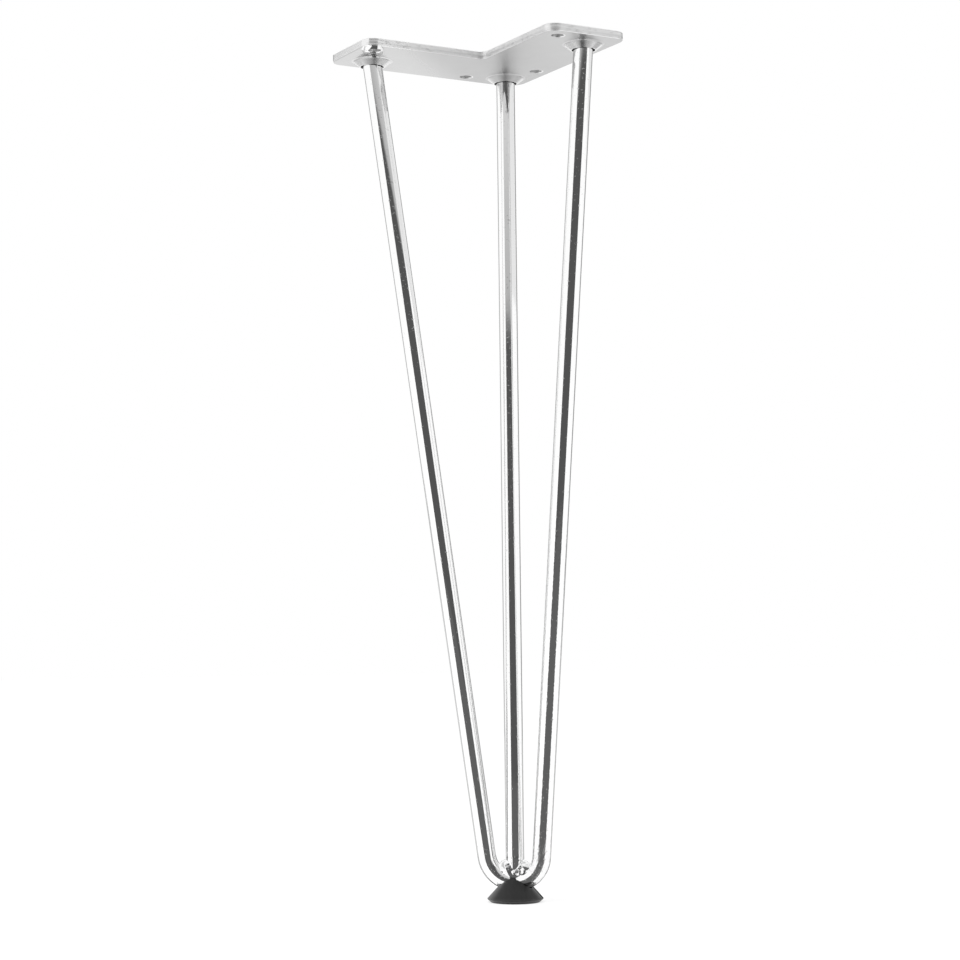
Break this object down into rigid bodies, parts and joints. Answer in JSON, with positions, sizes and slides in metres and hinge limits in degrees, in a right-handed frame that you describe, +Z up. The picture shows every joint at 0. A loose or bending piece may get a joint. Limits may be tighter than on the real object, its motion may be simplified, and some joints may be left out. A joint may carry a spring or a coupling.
{
  "type": "table leg",
  "caption": "Hairpin table leg of bright round bar, with an L-shaped screw-on plate with pressed dishes above and a black cone glide below.",
  "frame": {"origin": "on the top face of the mounting plate, where its two lines of screw holes cross", "axes": "+Z up to the table top, +X and +Y along the two arms of the plate"},
  "size_m": [0.1138, 0.1138, 0.435],
  "materials": {
    "plate_metal": "bright plated over rolled sheet, satin",
    "bright_bar": "mirror bright plating on drawn bar",
    "plug_weld_metal": "plated weld, slightly uneven",
    "foot_plastic": "moulded black plastic, semi-matt"
  },
  "bodies": {
    "root": {"mounting_plate": "plate_metal", "hairpin_rod": "bright_bar", "corner_rod": "bright_bar", "plate_welds": "plug_weld_metal", "foot": "foot_plastic"}
  },
  "joints": []
}
